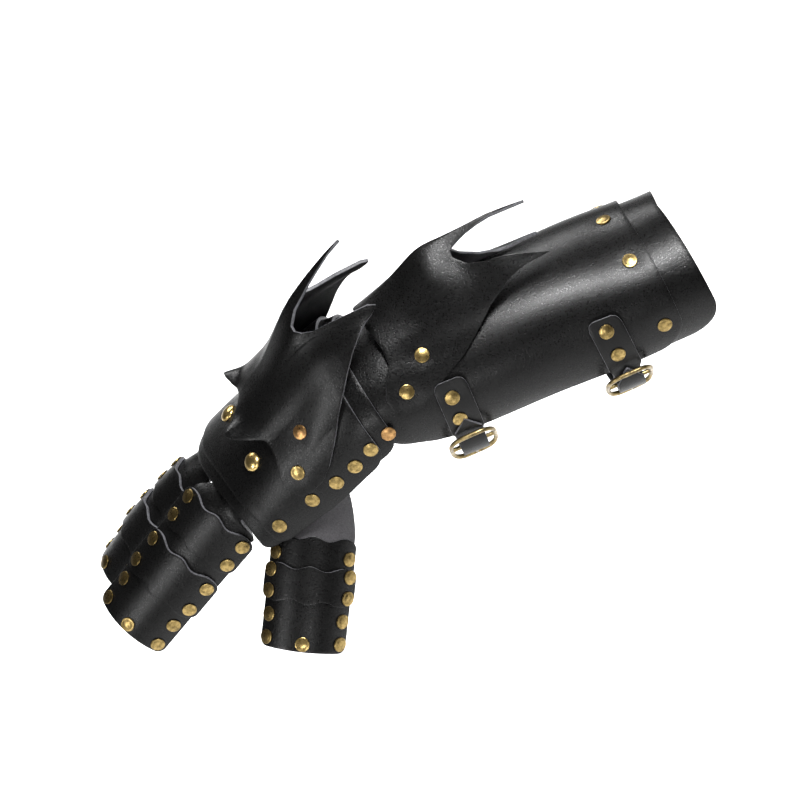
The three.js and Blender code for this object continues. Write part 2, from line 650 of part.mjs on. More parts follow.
function addRivets() {
  const hand = ['hand_plate_outer', 'hand_plate_inner']
  DOMES.forEach(([s, a], i) => {
    addRivet(`dome_rivet_${i + 1}`, s, a, [...hand, i ? 'ring_base' : 'index_base'], { radius: DOME_R, rise: DOME_RISE })
  })
  HAND_EDGE.forEach(([s, a], i) => {
    addRivet(`hand_rivet_${i + 1}`, s, a, i === 1 ? [...hand, 'thumb_base'] : hand)
  })
  for (const [side, tag] of [[1, 'near'], [-1, 'far']]) {
    addRivet(`wrist_rivet_${tag}`, WRIST_RIVET[0], WRIST_RIVET[1] * side,
      ['hand_plate_inner', 'bracer_outer', 'bracer_inner'])
    HAND_SPIKE_RIVETS.forEach(([s, a], i) => {
      const shift = side < 0 ? HAND_SPIKE.farShift : 0
      const ridge = side < 0 ? 2 * along(HAND_SPIKE.ridge, s) : 0
      addRivet(`hand_spike_rivet_${tag}_${i + 1}`, s + shift, a * side + ridge, ['hand_spike_plate', ...hand])
    })
    FOREARM_SPIKE_RIVETS.forEach(([s, a], i) => {
      addRivet(`forearm_spike_rivet_${tag}_${i + 1}`, s, a * side,
        ['forearm_spike_plate', 'bracer_outer', 'bracer_inner'])
    })
  }
  BRACER_RIVETS.forEach(([s, a], i) => addRivet(`bracer_rivet_${i + 1}`, s, a, ['bracer_outer', 'bracer_inner']))
  for (const { name, station, rivets } of STRAPS) {
    rivets.forEach(([s, a], i) => {
      addRivet(`${name}_tab_rivet_${i + 1}`, s, a, [`${name}_tab`, 'bracer_outer', 'bracer_inner'])
    })
    addRivet(`${name}_billet_rivet`, station, BILLET_RIVET, [`${name}_billet`, 'bracer_outer', 'bracer_inner'])
  }
}

addRivets()

// ---- scene --------------------------------------------------------------
const FINISHES = {
  leather: { color: 0x17171a, roughness: 0.42, metalness: 0 },
  brass: { color: 0xb08a4a, roughness: 0.3, metalness: 1 },
  bronze: { color: 0x6f5a38, roughness: 0.42, metalness: 1 }
}

function toMesh(name, body, finish) {
  const { vertProperties, triVerts, numProp } = body.getMesh()
  const geometry = new THREE.BufferGeometry()
  const positions = new Float32Array(vertProperties.length / numProp * 3)
  for (let i = 0; i < positions.length / 3; i++) {
    for (let k = 0; k < 3; k++) positions[i * 3 + k] = vertProperties[i * numProp + k]
  }
  geometry.setAttribute('position', new THREE.BufferAttribute(positions, 3))
  geometry.setIndex(new THREE.BufferAttribute(new Uint32Array(triVerts), 1))
  geometry.computeVertexNormals()
  const material = new THREE.MeshStandardMaterial(FINISHES[finish])
  material.name = finish
  const mesh = new THREE.Mesh(geometry, material)
  mesh.name = name
  return mesh
}

const gauntlet = new THREE.Group()
gauntlet.name = 'armoured_gauntlet'
for (const [name, body] of bodies) gauntlet.add(toMesh(name, body, metals.get(name) ?? 'leather'))

export default gauntlet
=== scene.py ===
# Riveted leather gauntlet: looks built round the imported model.
# Metres in Blender; the shape functions work in millimetres and MM turns their points at the end.
import math
import bpy
from mathutils import Matrix, Vector
from mathutils.bvhtree import BVHTree


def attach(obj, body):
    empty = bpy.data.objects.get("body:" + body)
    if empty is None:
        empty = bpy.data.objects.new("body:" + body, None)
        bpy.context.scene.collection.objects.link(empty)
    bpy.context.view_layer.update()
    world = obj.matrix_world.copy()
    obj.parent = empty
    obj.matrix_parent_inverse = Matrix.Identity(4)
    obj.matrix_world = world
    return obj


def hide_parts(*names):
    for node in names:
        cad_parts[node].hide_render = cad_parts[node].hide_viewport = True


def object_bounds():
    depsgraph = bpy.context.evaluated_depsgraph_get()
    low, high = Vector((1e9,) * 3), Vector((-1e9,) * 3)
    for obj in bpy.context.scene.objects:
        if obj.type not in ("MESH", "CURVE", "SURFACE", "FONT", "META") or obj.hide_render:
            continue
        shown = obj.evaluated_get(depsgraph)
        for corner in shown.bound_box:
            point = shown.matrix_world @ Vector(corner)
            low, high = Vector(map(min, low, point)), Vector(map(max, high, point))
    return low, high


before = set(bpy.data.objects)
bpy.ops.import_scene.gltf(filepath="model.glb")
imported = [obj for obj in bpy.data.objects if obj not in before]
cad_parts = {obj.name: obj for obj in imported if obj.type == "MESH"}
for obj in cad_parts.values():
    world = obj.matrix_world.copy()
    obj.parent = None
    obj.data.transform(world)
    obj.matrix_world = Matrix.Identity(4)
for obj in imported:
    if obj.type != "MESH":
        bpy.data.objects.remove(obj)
CAD_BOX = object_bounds()

# ---- driving sizes, millimetres and degrees -------------------------------
MM = 0.001
LEATHER = 2.2
GAP = 0.35
LAYER = LEATHER + GAP
INNER_HEIGHT = -1.5
OUTER_HEIGHT = INNER_HEIGHT + LAYER + 0.15
HAND_INNER_HEIGHT = OUTER_HEIGHT + LAYER + 0.5
HAND_OUTER_HEIGHT = HAND_INNER_HEIGHT + LAYER + 0.25
RIVET_R = 4.5
DOME_R = 5.8
POST_R = 1.5
FOOT_R = 3.4
STRAP_WIDTH = 20
STRAP_LEATHER = 1.6
EDGE_ROUND = 0.45
EDGE_ANGLE = 50
SMOOTH_ANGLE = 40
RIVET_SMOOTH_ANGLE = 35

# The arm inside the plates: [station along the arm, value], in millimetres and degrees.
FLEX = [[-130, 21.4], [-60, 20], [-25, 12], [5, 0]]
DEVIATION = [[-60, 8], [-25, 6], [5, 0]]
ROLL = [[-100, 14], [-50, 10], [5, 0]]
HALF_WIDTH = [[-130, 47.5], [-112, 48.5], [-60, 51], [-20, 48], [0, 46], [170, 50], [200, 50.5]]
HALF_HEIGHT = [[-130, 26], [-90, 34], [-60, 40.5], [-20, 46], [0, 46], [170, 45], [200, 45]]
DROP = [[-130, -13.5], [-60, -8], [-20, -1], [0, 0], [170, -5], [200, -6]]
SPINE_ENDS = [-260, 240]


# ---- small maths ----------------------------------------------------------
def mix(a, b, k):
    return a + (b - a) * k


def spread(start, end, steps):
    return [mix(start, end, i / steps) for i in range(steps + 1)]


def along(table, x):
    if x <= table[0][0]:
        return table[0][1]
    for (x0, y0), (x1, y1) in zip(table, table[1:]):
        if x <= x1:
            return mix(y0, y1, (x - x0) / (x1 - x0))
    return table[-1][1]


def smooth(rows, x):
    """Values at x of a smooth curve through [x, ...values] rows, which may be unevenly spaced."""
    last = len(rows) - 1
    at = min(max(x, rows[0][0]), rows[last][0])
    i = 0
    while i < last - 1 and at > rows[i + 1][0]:
        i += 1
    a, b = rows[i], rows[i + 1]
    before, after = rows[max(i - 1, 0)], rows[min(i + 2, last)]
    span = b[0] - a[0]
    k = (at - a[0]) / span
    out = []
    for n in range(1, len(a)):
        slope_a = (b[n] - before[n]) / (b[0] - before[0]) * span
        slope_b = (after[n] - a[n]) / (after[0] - a[0]) * span
        out.append(a[n] * (2 * k**3 - 3 * k * k + 1) + slope_a * (k**3 - 2 * k * k + k)
                   + b[n] * (3 * k * k - 2 * k**3) + slope_b * (k**3 - k * k))
    return out


def corner(t, half_arc, radius):
    """How far a round corner pulls an edge in, where t is 0 in the middle and 1 or -1 at the sides."""
    into = abs(t) * half_arc - (half_arc - radius)
    if into <= 0:
        return 0
    return radius - math.sqrt(max(0, radius * radius - into * into))


# ---- where rivets go: [station, angle round the arm] -------------------------
HAND_EDGE = [[-94.4, 68.4], [-66.2, 71], [-47.6, 74.9], [-33.1, 77.3], [-20.9, 76.9]]
DOMES = [[-85.4, 24], [-94.3, -28.7]]
WRIST_RIVET = [-10.3, 77.5]
HAND_SPIKE_RIVETS = [[-47, 36.7], [-60.9, 51.1]]
FOREARM_SPIKE_RIVETS = [[22.5, 42.9], [5.8, 61.4]]
BRACER_RIVETS = [[153.4, -5.4], [155.6, 36], [159.6, 86.8], [155.6, -46], [159.6, -86.8]]
STRAP_RIVETS = {"wrist": [[28.5, 75.5]], "elbow": [[126, 73], [127.5, 91.4]]}
WRIST_TAB_SECOND = [27.8, 91.5]
BILLET_RIVET = -76
NEAR_AND_FAR = [WRIST_RIVET, *HAND_SPIKE_RIVETS, *FOREARM_SPIKE_RIVETS, *HAND_EDGE]
RIVET_DIMPLE = 6.5
DOME_DIMPLE = 9
DIMPLE_DEPTH = 0.6
DIMPLE_END = 6
DIMPLES = [[s, a, RIVET_DIMPLE] for s, a in (*BRACER_RIVETS, *NEAR_AND_FAR)]
DIMPLES += [[s, -a, RIVET_DIMPLE] for s, a in NEAR_AND_FAR]
DIMPLES += [[s, a, DOME_DIMPLE] for s, a in DOMES]


# ---- arm surface ----------------------------------------------------------
MM_PER_DEGREE = 0.85


def arm_direction(station):
    flex = math.radians(along(FLEX, station))
    turn = math.radians(along(DEVIATION, station))
    return Vector((math.cos(flex) * math.cos(turn), -math.sin(turn), math.sin(flex) * math.cos(turn)))


def arm_spine():
    points = {0: Vector((0, 0, 0))}
    for s in range(1, SPINE_ENDS[1] + 1):
        points[s] = points[s - 1] + arm_direction(s - 0.5)
    for s in range(-1, SPINE_ENDS[0] - 1, -1):
        points[s] = points[s + 1] - arm_direction(s + 0.5)
    return points


SPINE = arm_spine()


def arm_frame(station):
    tangent = arm_direction(station)
    side = tangent.cross(Vector((0, 0, 1))).normalized()
    back = side.cross(tangent)
    roll = math.radians(along(ROLL, station))
    thumb = side * math.cos(roll) - back * math.sin(roll)
    up = back * math.cos(roll) + side * math.sin(roll)
    low = math.floor(station)
    centre = SPINE[low].lerp(SPINE[low + 1], station - low) + up * along(DROP, station)
    return centre, tangent, thumb, up


def unevenness(station, angle):
    """Slow waves of hand-formed leather and the dimple that each rivet pulls, millimetres."""
    wave = 0.45 * math.sin(station * 0.071 + angle * 0.043)
    wave += 0.3 * math.sin(station * 0.033 - angle * 0.087 + 1.3)
    for s, a, reach in DIMPLES:
        away = ((station - s) ** 2 + ((angle - a) * MM_PER_DEGREE) ** 2) / reach**2
        if away < DIMPLE_END:
            wave -= DIMPLE_DEPTH * math.exp(-away)
    return wave


def arm_point(station, angle, height):
    centre, _, thumb, up = arm_frame(station)
    height += unevenness(station, (angle + 180) % 360 - 180)
    a = math.radians(angle)
    return (centre + thumb * ((along(HALF_WIDTH, station) + height) * math.sin(a))
            + up * ((along(HALF_HEIGHT, station) + height) * math.cos(a)))


def surface_normal(station, angle):
    centre, tangent, _, _ = arm_frame(station)
    round_way = arm_point(station, angle + 1, 0) - arm_point(station, angle - 1, 0)
    normal = round_way.cross(tangent).normalized()
    return -normal if normal.dot(arm_point(station, angle, 0) - centre) < 0 else normal


# ---- materials --------------------------------------------------------------
def linear(hex_colour):
    parts = [int(hex_colour[i:i + 2], 16) / 255 for i in (1, 3, 5)]
    return tuple(c / 12.92 if c <= 0.04045 else ((c + 0.055) / 1.055) ** 2.4 for c in parts) + (1,)


def add_node(owner, kind, links=None, stops=(), **settings):
    """One node of a material or the world, with its settings.

    links maps an input to (node, output) or to a plain value; stops are a ramp's two (place, colour)."""
    node = owner.node_tree.nodes.new(kind)
    for key, value in settings.items():
        setattr(node, key, value)
    for i, (place, colour) in enumerate(stops):
        node.color_ramp.elements[i].position = place
        node.color_ramp.elements[i].color = colour
    for key, value in (links or {}).items():
        if isinstance(value, tuple) and isinstance(value[0], bpy.types.Node):
            join(owner, *value, node, key)
        else:
            node.inputs[key].default_value = value
    return node


def start_material(name):
    """A new material, its shader and the object coordinates that its textures use."""
    material = bpy.data.materials.new(name)
    material.use_nodes = True
    shader = material.node_tree.nodes["Principled BSDF"]
    coords = add_node(material, "ShaderNodeTexCoord")
    return material, shader, (coords, "Object")


def join(owner, source, output, target, key):
    owner.node_tree.links.new(source.outputs[output], target.inputs[key])


def per_metre(millimetres):
    """Texture scale for a pattern that repeats about every so many millimetres."""
    return 1000 / millimetres


def leather_material(name, body, worn, roughness):
    # Finished cowhide: fine pebbled grain under a thin satin topcoat, slightly uneven in shine.
    # Real grain is about half as wide as drawn here; it is coarser so that it shows.
    material, shader, coords = start_material(name)
    blotch = add_node(material, "ShaderNodeTexNoise", {
        "Vector": coords, "Scale": per_metre(38), "Detail": 5.0})
    grain = add_node(material, "ShaderNodeTexVoronoi", {"Vector": coords, "Scale": per_metre(1.5)},
                     feature="DISTANCE_TO_EDGE")
    pores = add_node(material, "ShaderNodeTexNoise", {
        "Vector": coords, "Scale": per_metre(1.0), "Detail": 3.0})
    colour = add_node(material, "ShaderNodeValToRGB", {"Fac": (blotch, "Fac")},
                      [(0.35, linear(body)), (0.72, linear(worn))])
    join(material, colour, "Color", shader, "Base Color")
    shine = add_node(material, "ShaderNodeMapRange", {
        "Value": (pores, "Fac"), "From Min": 0.3, "From Max": 0.7,
        "To Min": roughness - 0.07, "To Max": roughness + 0.1})
    join(material, shine, "Result", shader, "Roughness")
    creases = add_node(material, "ShaderNodeMapRange", {
        "Value": (grain, "Distance"), "From Min": 0.0, "From Max": 0.12, "To Min": 0.0, "To Max": 1.0})
    fine = add_node(material, "ShaderNodeBump", {
        "Height": (pores, "Fac"), "Strength": 0.38, "Distance": 0.0003})
    bump = add_node(material, "ShaderNodeBump", {
        "Height": (creases, "Result"), "Normal": (fine, "Normal"), "Strength": 0.25, "Distance": 0.00014})
    soft = add_node(material, "ShaderNodeBump", {
        "Height": (blotch, "Fac"), "Normal": (bump, "Normal"), "Strength": 0.35, "Distance": 0.0015})
    join(material, soft, "Normal", shader, "Normal")
    shader.inputs["Specular IOR Level"].default_value = 0.13
    shader.inputs["Coat Weight"].default_value = 0.025
    shader.inputs["Coat Roughness"].default_value = 0.26
    return material


def cut_edge_material():
    # Cut edge of the hide: dyed but not finished, so it shows paler, dull and fibrous.
    material, shader, coords = start_material("cut leather edge")
    fibres = add_node(material, "ShaderNodeTexNoise", {
        "Vector": coords, "Scale": per_metre(1.1), "Detail": 4.0})
    colour = add_node(material, "ShaderNodeValToRGB", {"Fac": (fibres, "Fac")},
                      [(0.35, linear("#2a2a2c")), (0.65, linear("#4c4c50"))])
    join(material, colour, "Color", shader, "Base Color")
    shader.inputs["Roughness"].default_value = 0.6
    bump = add_node(material, "ShaderNodeBump", {
        "Height": (fibres, "Fac"), "Strength": 0.4, "Distance": 0.0003})
    join(material, bump, "Normal", shader, "Normal")
    return material


def flesh_side_material():
    # Inner side of the hide: napped suede, dark and without shine.
    material, shader, coords = start_material("suede flesh side")
    nap = add_node(material, "ShaderNodeTexNoise", {"Vector": coords, "Scale": per_metre(0.8), "Detail": 5.0})
    colour = add_node(material, "ShaderNodeValToRGB", {"Fac": (nap, "Fac")},
                      [(0.3, linear("#121113")), (0.7, linear("#29272a"))])
    join(material, colour, "Color", shader, "Base Color")
    shader.inputs["Roughness"].default_value = 0.85
    bump = add_node(material, "ShaderNodeBump", {
        "Height": (nap, "Fac"), "Strength": 0.5, "Distance": 0.0004})
    join(material, bump, "Normal", shader, "Normal")
    return material


def metal_material(name, bright, dark, roughness, tarnish_mm, dent):
    # Brass or bronze that was polished and has gone dull in patches, with fine handling marks.
    material, shader, coords = start_material(name)
    patch = add_node(material, "ShaderNodeTexNoise", {
        "Vector": coords, "Scale": per_metre(tarnish_mm), "Detail": 6.0, "Roughness": 0.62})
    colour = add_node(material, "ShaderNodeValToRGB", {"Fac": (patch, "Fac")},
                      [(0.32, linear(dark)), (0.6, linear(bright))])
    join(material, colour, "Color", shader, "Base Color")
    shader.inputs["Metallic"].default_value = 1
    shine = add_node(material, "ShaderNodeMapRange", {
        "Value": (patch, "Fac"), "From Min": 0.3, "From Max": 0.7,
        "To Min": roughness + 0.14, "To Max": roughness - 0.05})
    join(material, shine, "Result", shader, "Roughness")
    bump = add_node(material, "ShaderNodeBump", {
        "Height": (patch, "Fac"), "Strength": dent, "Distance": 0.0004})
    join(material, bump, "Normal", shader, "Normal")
    return material


PLATE_LEATHER = leather_material("black finished cowhide", "#030303", "#060606", 0.3)
STRAP_LEATHER_LOOK = leather_material("black strap leather", "#040404", "#080808", 0.36)
CUT_EDGE = cut_edge_material()
FLESH = flesh_side_material()
BRASS = metal_material("antique brass", "#857248", "#4a3e24", 0.27, 2.6, 0.25)
COPPERED = metal_material("coppered brass", "#917048", "#5b432a", 0.29, 2.6, 0.25)
POLISHED = metal_material("polished brass", "#ad9660", "#745f38", 0.27, 5.0, 0.12)
BRONZE = metal_material("aged bronze plate", "#7d6e4c", "#3a3120", 0.32, 3.2, 0.35)


# ---- making pieces ----------------------------------------------------------
def deselect():
    if bpy.context.object and bpy.context.object.mode != "OBJECT":
        bpy.ops.object.mode_set(mode="OBJECT")
    bpy.ops.object.select_all(action="DESELECT")


def finish_piece(piece, nodes=()):
    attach(piece, "root")
    if nodes:
        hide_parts(*nodes)
    return piece


def smooth_shade(piece, angle):
    deselect()
    piece.select_set(True)
    bpy.context.view_layer.objects.active = piece
    bpy.ops.object.shade_smooth_by_angle(angle=math.radians(angle))


def apply_modifier(piece, name, kind, **settings):
    modifier = piece.modifiers.new(name, kind)
    for key, value in settings.items():
        setattr(modifier, key, value)
    bpy.context.view_layer.objects.active = piece
    bpy.ops.object.modifier_apply(modifier=name)


def faces_inward(place, outward):
    """Whether a sheet's grid faces inwards, tested at one spot near its side."""
    u, v, step = 0.1, 0.5, 0.01
    across = place(u + step, v) - place(u - step, v)
    down = place(u, v + step) - place(u, v - step)
    return across.cross(down).dot(outward(u, v)) < 0


def sheet_piece(name, columns, rows, place, thickness, outward, outer=None):
    """A flat grid laid on place(u, v) -> millimetres (u, v from 0 to 1), then given its wall.

    outward(u, v) says which way the finished side faces."""
    deselect()
    bpy.ops.mesh.primitive_grid_add(x_subdivisions=columns, y_subdivisions=rows, size=1)
    piece = bpy.context.object
    piece.name = name
    for vertex in piece.data.vertices:
        vertex.co = place(vertex.co.x + 0.5, vertex.co.y + 0.5) * MM
    if faces_inward(place, outward):
        bpy.ops.object.mode_set(mode="EDIT")
        bpy.ops.mesh.select_all(action="SELECT")
        bpy.ops.mesh.flip_normals()
        bpy.ops.object.mode_set(mode="OBJECT")
    for look in (outer or PLATE_LEATHER, FLESH, CUT_EDGE):
        piece.data.materials.append(look)
    apply_modifier(piece, "wall", "SOLIDIFY", thickness=thickness * MM, offset=-1,
                   use_even_offset=False, material_offset=1, material_offset_rim=2)
    bpy.ops.object.mode_set(mode="EDIT")
    bpy.ops.mesh.select_all(action="SELECT")
    bpy.ops.mesh.remove_doubles(threshold=0.00001)
    bpy.ops.mesh.normals_make_consistent(inside=False)
    bpy.ops.object.mode_set(mode="OBJECT")
    apply_modifier(piece, "edges", "BEVEL", width=EDGE_ROUND * MM, segments=2, limit_method="ANGLE",
                   angle_limit=math.radians(EDGE_ANGLE))
    smooth_shade(piece, SMOOTH_ANGLE)
    return piece


def crowd(x):
    """Columns crowd towards both sides, where the corners are round."""
    u = 2 * x - 1
    return u * (1.32 - 0.32 * u * u)


def arm_centre(_, s):
    return arm_frame(s)[0]


def plate(name, columns, rows, edges, surface, inside=arm_centre):
    """surface(t, s) is the outer face, inside(t, s) a point within; edges(t) gives [front, back]."""
    def place(u, v):
        t = crowd(u)
        return surface(t, mix(*edges(t), v))

    def outward(u, v):
        t = crowd(u)
        return place(u, v) - inside(t, mix(*edges(t), v))

    return finish_piece(sheet_piece(name, columns, rows, place, LEATHER, outward), [name])


# ---- bracer -----------------------------------------------------------------
BRACER = {
    "bracer_inner": {"front": -15, "back": [186, 195], "angle": [[-25, 108], [20, 115], [190, 113]],
                     "corner": 24, "height": INNER_HEIGHT},
    "bracer_outer": {"front": -16, "back": [166, 171], "angle": [[-25, 106], [20, 113], [170, 110]],
                     "corner": 20, "height": OUTER_HEIGHT},
}
BRACER_FRONT_CORNER = 34
WRIST_HALF = 46


def make_bracer(name, shape):
    half_arc = math.radians(shape["angle"][1][1]) * WRIST_HALF

    def edges(t):
        return [shape["front"] + corner(t, half_arc, BRACER_FRONT_CORNER),
                mix(*shape["back"], abs(t)) - corner(t, half_arc, shape["corner"])]

    def surface(t, s):
        return arm_point(s, t * along(shape["angle"], s), shape["height"] + LEATHER)

    return plate(name, 112, 64, edges, surface)


# ---- hand plates ------------------------------------------------------------
HAND = {
    "hand_plate_inner": {
        "front": [[-76, -118], [-45, -126], [-22, -129], [6, -122.5], [29, -116.5], [46, -113.5],
                  [76, -113.5]],
        "back": [-14, -8], "height": HAND_INNER_HEIGHT},
    "hand_plate_outer": {
        "front": [[-76, -108], [-45, -118], [-22, -121.5], [10, -112.5], [22, -109.5], [54, -104],
                  [76, -102.5]],
        "back": [-21, -17], "height": HAND_OUTER_HEIGHT},
}
HAND_ANGLE = [[-124, 79], [-20, 91]]
HAND_CORNER = 9
HAND_HALF_ARC = 75


def make_hand_plate(name, shape):
    def edges(t):
        fall = corner(t, HAND_HALF_ARC, HAND_CORNER)
        front = smooth(shape["front"], t * HAND_ANGLE[0][1])[0]
        return [front + fall, mix(*shape["back"], abs(t)) - fall]

    def surface(t, s):
        return arm_point(s, t * along(HAND_ANGLE, s), shape["height"] + LEATHER)

    return plate(name, 96, 56, edges, surface)


# ---- spike plates -----------------------------------------------------------
# Outlines are [angle from the ridge, station]; a lift row is a station, then heights at lift_angles.
HAND_SPIKE = {
    "base": HAND_OUTER_HEIGHT + LAYER,
    "ridge": [[-60, -9.5], [-37, -7.5], [-18, -4.7], [5, 0]],
    "front": [[0, -72], [5, -75], [10, -80], [15, -84.5], [19, -86.5], [21.5, -84.5], [24, -80],
              [28, -73.5], [32, -68], [38, -67], [45, -69], [56, -73.5], [64, -73], [71, -69], [74.5, -63]],
    "back": [[0, 5], [2.2, -10], [5, -20], [8.3, -23.8], [11, -23.6], [13.5, -21], [15.2, -16.5],
             [16.9, 10.7], [21.5, 2], [25, -1.5], [31, -7], [38, -12.5], [45, -17.5], [56, -27], [64, -35],
             [71, -44], [74.5, -53]],
    "lift": [[-86, 7, 12, 16, 9, 3, 0], [-72, 9, 9.4, 8.5, 5.6, 2, 0], [-49, 12.5, 11.5, 8.7, 5.4, 2, 0],
             [-24, 28.5, 23.5, 15.5, 11, 7, 0], [-11, 39.5, 28.5, 17.5, 14, 10.3, 3.4],
             [5, 53.3, 35.5, 19.5, 16, 13, 7]],
    "lift_angles": [0, 10, 18, 27, 36, 58],
    "far_shift": 7,
    "far_lift": 1,
}
FOREARM_SPIKE = {
    "base": OUTER_HEIGHT + LAYER,
    "ridge": [[0, 0], [1, 0]],
    "front": [[0, -1], [15, 1], [30, 3.4], [40, 3.4], [50, -1], [59, -4], [67, -3.5], [72, -0.5], [75, 4]],
    "back": [[0, 113], [0.8, 91], [2.7, 72], [4.9, 62], [7.6, 61.5], [11.8, 68], [15, 78], [17.5, 96],
             [20, 115], [23, 96], [26, 85], [32.5, 70.5], [42, 58], [52, 46], [60, 33], [68, 20], [75, 11]],
    "lift": [[0, 10, 7.5, 4.8, 3.2, 1, 0], [23, 19.7, 14.3, 8.4, 4.8, 1.2, 0],
             [45, 32.4, 23, 13.9, 7.6, 2.2, 0], [65, 34.6, 23, 15.2, 8.9, 2.8, 0],
             [90, 36.8, 28.9, 19.4, 12, 5.4, 1],
             [115, 35.4, 25.6, 15.6, 11, 6, 1.4]],
    "lift_angles": [0, 10, 20, 30, 42, 58],
    "far_shift": 0,
    "far_lift": 0.03,
}
SPIKE_HALF_ANGLE = 17


def spike_point(shape, angle, s, height):
    """A point of a spike plate; the far side is shifted along and lifted less than the near one."""
    row = smooth(shape["lift"], s)
    lift = smooth([[a, h] for a, h in zip(shape["lift_angles"], row)], abs(angle))[0]
    far = min(1, max(0, -angle / SPIKE_HALF_ANGLE))
    kept = mix(1, shape["far_lift"], far * far)
    return arm_point(s + shape["far_shift"] * far, along(shape["ridge"], s) + angle,
                     height + max(0, lift) * kept)


def make_spike_plate(name, shape):
    reach = shape["back"][-1][0]

    def place(u, v):
        angle = (2 * u - 1) * reach
        front, back = along(shape["front"], abs(angle)), along(shape["back"], abs(angle))
        return spike_point(shape, angle, mix(front, back, v), shape["base"] + LEATHER)

    def outward(u, v):
        return place(u, v) - arm_frame(shape["front"][0][0])[0]

    return finish_piece(sheet_piece(name, 180, 40, place, LEATHER, outward), [name])


# ---- finger and thumb lames ---------------------------------------------------
CHAINS = {
    "index": {"start": (-119.5, -11.2, -24.9), "down": (-0.857, 0, -0.515), "side": (0.39, -0.655, -0.648),
              "radius": 36, "half": 46.5, "curl": 0.03, "scale": 1.035,
              "root": lambda t, d: (-116 - d, 26 + 18 * t), "root_end": 1.5, "arch_start": 9.8},
    "ring": {"start": (-133.5, 31.6, -20.6), "down": (-0.874, 0.13, -0.445), "side": (0.063, -0.99, -0.104),
             "radius": 25, "half": 61, "curl": 0.14, "scale": 0.92,
             "root": lambda t, d: (-118 - d, -25 + 14 * t), "root_end": 3, "arch_start": 9.8},
    "thumb": {"start": (-78, -43, -45.5), "down": (-0.507, -0.531, -0.679), "side": (0.855, -0.319, -0.408),
              "radius": 31, "half": 50, "curl": 0.08, "scale": 1,
              "root": lambda t, d: (-66 + 20 * t, 94 + d), "root_end": -10, "arch_start": 1},
}
ROOT_HEIGHT = HAND_INNER_HEIGHT - LAYER - 0.3
# name, from, to, raised layer, straight start, straight end; a base lame has layer None.
FINGER_LAMES = [("base", -40, 15, None, 1, 1), ("bridge_1", 10, 38, 1, 0, 0), ("mid", 31, 52, 0, 0, 0),
                ("bridge_2", 45, 76, 1, 0, 0), ("tip", 69, 107, 0, 0, 0)]
THUMB_LAMES = [("base", -32, 14, None, 1, 1), ("mid", 3, 30, 1, 0, 1), ("bridge", 21, 44, 2, 0, 0),
               ("tip", 36, 73, 1, 1, 1)]
BASE_NARROW = 0.94
BASE_HALF_ARC = 18
LAME_CORNER = 5
WAVE = 3.2
WAVES = 3
WAVE_FADE = 0.6


def chain_frame(chain, distance):
    down = Vector(chain["down"]).normalized()
    side = Vector(chain["side"])
    across = (side - down * side.dot(down)).normalized()
    up = down.cross(across)
    if up.z < 0:
        up = -up
    bend = math.radians(chain["curl"] * distance)
    centre = (Vector(chain["start"]) + down * (distance * math.cos(bend / 2))
              - up * (distance * math.sin(bend / 2)))
    normal = up * math.cos(bend) + down * math.sin(bend)
    return centre - normal * chain["radius"], across, normal


def chain_point(chain, distance, angle, height):
    centre, across, normal = chain_frame(chain, distance * chain["scale"])
    a = math.radians(angle)
    r = chain["radius"] + height
    return centre + across * (r * math.sin(a)) + normal * (r * math.cos(a))


def base_point(chain, d, t):
    """A base lame starts on the hand beneath the plates and blends into the chain's arch."""
    arch = chain_point(chain, d, t * chain["half"] * BASE_NARROW, 0)
    k = min(1, max(0, (d - chain["root_end"]) / (chain["arch_start"] - chain["root_end"])))
    if k == 1:
        return arch
    station, angle = chain["root"](t, d)
    return arm_point(station, angle, ROOT_HEIGHT).lerp(arch, k * k * (3 - 2 * k))


def make_lame(name, chain, start, end, raised, plain_start, plain_end):
    half_arc = math.radians(chain["half"]) * chain["radius"]

    def edges(t):
        if raised is None:
            fall = corner(t, BASE_HALF_ARC, LAME_CORNER)
            return [start + fall, end - fall]
        fall = corner(t, half_arc, LAME_CORNER)
        scallop = WAVE * (0.5 - 0.5 * math.cos(t * math.pi * WAVES)) * (1 - abs(t) * WAVE_FADE)
        wave = scallop if raised else 0
        return [start + fall + (0 if plain_start else wave), end - fall - (0 if plain_end else wave)]

    def surface(t, d):
        if raised is None:
            return base_point(chain, d, t)
        return chain_point(chain, d, t * chain["half"], raised * LAYER)

    def inside(_, d):
        return chain_frame(chain, d * chain["scale"])[0]

    return plate(name, 56, 22, edges, surface, inside)


# ---- straps -------------------------------------------------------------------
STRAPS = [
    {"name": "wrist", "station": 30, "slant": 0, "tip": -268},
    {"name": "elbow", "station": 129.5, "slant": 0.08, "tip": -256},
]
SLANT_FROM = 105
STRAP_BED = OUTER_HEIGHT + LAYER + 0.15 + STRAP_LEATHER / 2
STRAP_PITCH = STRAP_LEATHER + GAP
TAB_HEIGHT = STRAP_BED + 2.5
BILLET_HEIGHT = TAB_HEIGHT + STRAP_PITCH
WIRE_R = 1.4
BAR_ANGLE = 121
LOOP_R = WIRE_R + GAP + 0.15 + STRAP_LEATHER / 2
LOOP_TURN = LOOP_R * 1.3
BAR_HEIGHT = STRAP_BED + LOOP_R + 0.6
# The tab's outer layer starts at the first angle and the layer folded under it ends at the second.
TAB_ENDS = [64, 70]
# Each side of the tab narrows by TAB_WAIST towards the buckle; the billet is narrow all the way.
TAB_WAIST = 1.6
TAB_WAIST_FROM = 104
BILLET_WAIST = 1.8
PATH_STEP = 0.003
BUCKLE_HALF = 14
BUCKLE_FAR = 14
BUCKLE_NEAR = 14.5
BUCKLE_ARCH = 3.5
BUCKLE_TILT = 7
BUCKLE_BOW = 2.6
PRONG_R = 1.1
PRONG_TAPER = 0.82
PRONG_CUTS = 30


